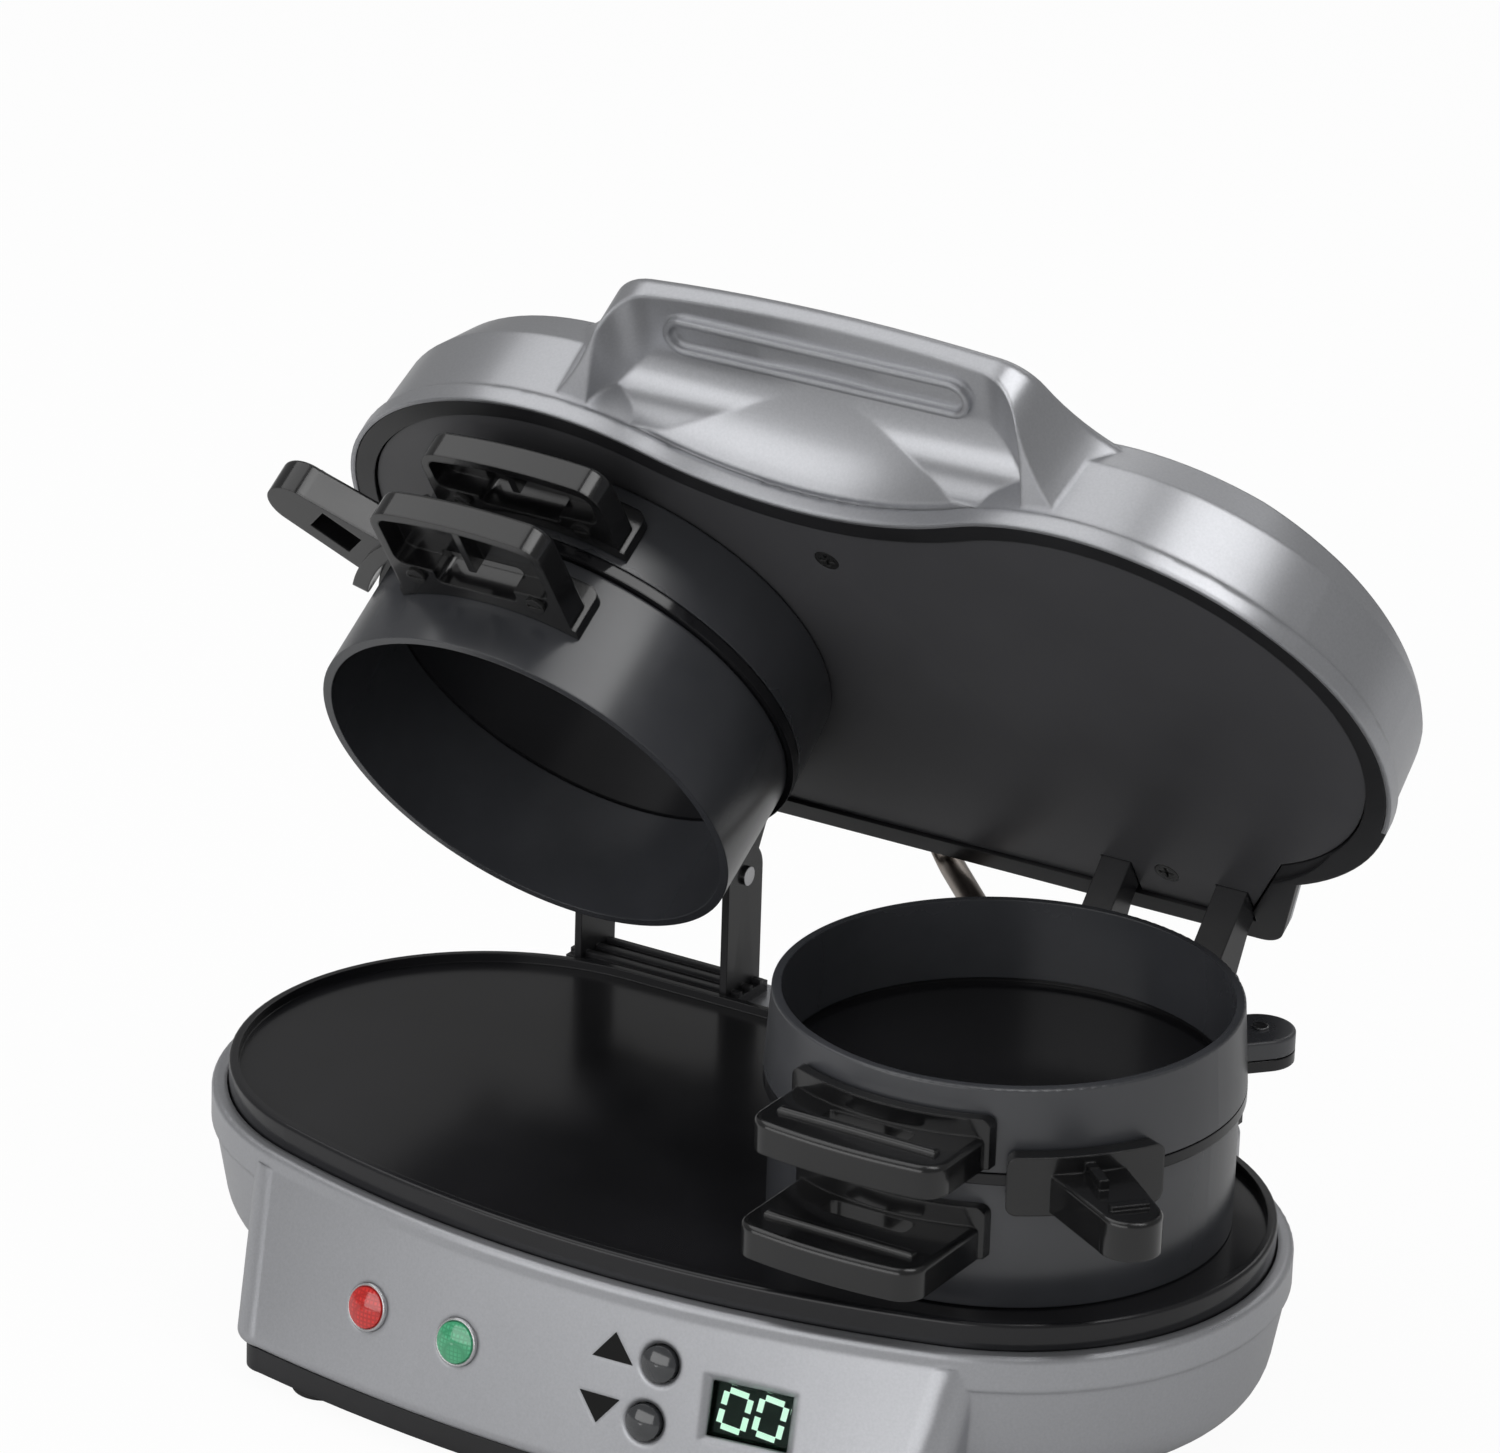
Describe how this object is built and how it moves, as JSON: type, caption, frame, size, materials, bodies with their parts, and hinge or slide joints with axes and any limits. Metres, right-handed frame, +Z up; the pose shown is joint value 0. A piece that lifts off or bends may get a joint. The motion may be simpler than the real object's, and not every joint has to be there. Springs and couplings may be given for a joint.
{
  "type": "breakfast sandwich maker",
  "caption": "Breakfast sandwich maker with hinged lid, stacked lift-up cooking rings, swing-out egg plates, indicator lamps, keys and a timer display, shown open.",
  "frame": {"origin": "on the counter, under the middle of the part's width and depth with the lid open as pictured", "axes": "+X to the right along the two rings as seen from the front, +Y from the control panel to the hinge, +Z up"},
  "size_m": [0.2866, 0.1957, 0.2636],
  "materials": {
    "silver_paint": "metallic silver paint on a moulded shell, soft satin with a fine grain",
    "black_moulding": "satin black moulding",
    "handle_black": "semi-gloss black moulding with a fine texture",
    "ring_coating": "satin charcoal coating on a metal ring",
    "nonstick_coating": "semi-gloss black non-stick coating",
    "hinge_black": "satin black paint",
    "steel": "brushed steel, a little browned by heat",
    "fastener_steel": "plain steel",
    "dark_screw": "blackened steel",
    "heater_sheath": "dull steel sheath",
    "thermostat_body": "pale ceramic-filled moulding",
    "foot_rubber": "matt black rubber",
    "board_green": "green circuit board",
    "component_black": "black electronic parts",
    "lamp_clear": "clear resin",
    "red_lens": "clear red lens, faceted inside",
    "green_lens": "clear green lens, faceted inside",
    "bezel_pale": "pale glossy ring",
    "key_grey": "dark grey glossy key",
    "mark_black": "black print",
    "window_dark": "very dark green clear window",
    "digit_light": "lit pale green bars"
  },
  "bodies": {
    "base": {"base_housing": "silver_paint", "base_bottom_cover": "black_moulding", "rubber_feet": "foot_rubber", "bottom_heating_plate": "nonstick_coating", "bottom_heating_elements": "heater_sheath", "thermostat": "thermostat_body", "thermal_fuse": "fastener_steel", "terminal_block": "black_moulding", "control_board": "board_green", "board_relay_and_transformer": "component_black", "indicator_lamps": "lamp_clear", "power_lens": "red_lens", "ready_lens": "green_lens", "lens_bezels": "bezel_pale", "button_switches": "component_black", "arrow_marks": "mark_black", "display_module": "component_black", "display_window": "window_dark", "display_digits": "digit_light", "cord_gland": "black_moulding", "cover_screws": "fastener_steel", "right_hinge_bracket": "hinge_black", "left_hinge_bracket": "hinge_black", "right_hinge_rod": "fastener_steel", "left_hinge_rod": "fastener_steel", "conduit_bush": "hinge_black"},
    "right_lower": {"right_lower_ring": "ring_coating", "right_lower_handle": "handle_black", "right_lower_handle_screws": "dark_screw"},
    "right_upper": {"right_upper_ring": "ring_coating", "right_upper_handle": "handle_black", "right_upper_handle_screws": "dark_screw", "right_pivot_pin": "fastener_steel"},
    "right_plate": {"right_cooking_plate": "nonstick_coating", "right_cooking_plate_handle": "handle_black"},
    "left_lower": {"left_lower_ring": "ring_coating", "left_lower_handle": "handle_black", "left_lower_handle_screws": "dark_screw"},
    "left_upper": {"left_upper_ring": "ring_coating", "left_upper_handle": "handle_black", "left_upper_handle_screws": "dark_screw", "left_pivot_pin": "fastener_steel"},
    "left_plate": {"left_cooking_plate": "nonstick_coating", "left_cooking_plate_handle": "handle_black"},
    "lid": {"lid_shell": "silver_paint", "lid_frame": "black_moulding", "lid_hinge_arms": "hinge_black", "top_heating_plate": "nonstick_coating", "top_heating_elements": "heater_sheath", "plate_screws": "dark_screw", "conduit_tube": "steel"},
    "up_button": {"up_button": "key_grey"},
    "down_button": {"down_button": "key_grey"}
  },
  "joints": [
    {"name": "right_lower_ring_lift", "type": "hinge", "parent": "base", "child": "right_lower", "pos_m": [0, 0.0653, 0.09], "axis": [-1, 0, 0], "range_deg": [0, 20]},
    {"name": "right_upper_ring_lift", "type": "hinge", "parent": "right_lower", "child": "right_upper", "pos_m": [0, 0.0653, 0.09], "axis": [-1, 0, 0], "range_deg": [0, 20]},
    {"name": "lid_lift", "type": "hinge", "parent": "right_upper", "child": "lid", "pos_m": [0, 0.0653, 0.09], "axis": [-1, 0, 0], "range_deg": [-56, 0]},
    {"name": "left_lower_ring_lift", "type": "hinge", "parent": "base", "child": "left_lower", "pos_m": [0, 0.0653, 0.09], "axis": [-1, 0, 0], "range_deg": [-56, 0]},
    {"name": "left_upper_ring_lift", "type": "hinge", "parent": "left_lower", "child": "left_upper", "pos_m": [0, 0.0653, 0.09], "axis": [-1, 0, 0], "range_deg": [0, 20]},
    {"name": "right_cooking_plate_swing", "type": "hinge", "parent": "right_upper", "child": "right_plate", "pos_m": [0.11282, 0.04186, 0.0918], "axis": [0, 0, 1], "range_deg": [0, 120]},
    {"name": "left_cooking_plate_swing", "type": "hinge", "parent": "left_upper", "child": "left_plate", "pos_m": [-0.11282, 0.05368, 0.11044], "axis": [0, -0.829, -0.5592], "range_deg": [0, 120]},
    {"name": "up_button_press", "type": "slide", "parent": "base", "child": "up_button", "axis": [-0.0805, 0.9688, -0.2343], "range_m": [0, 0.0012], "stiffness_N_per_m": 300},
    {"name": "down_button_press", "type": "slide", "parent": "base", "child": "down_button", "axis": [-0.0661, 0.9701, -0.2334], "range_m": [0, 0.0012], "stiffness_N_per_m": 300}
  ],
  "couplings": [
    {"joint": "left_lower_ring_lift", "follows": "lid_lift", "ratio": 1},
    {"joint": "left_upper_ring_lift", "follows": "right_upper_ring_lift", "ratio": 1}
  ]
}
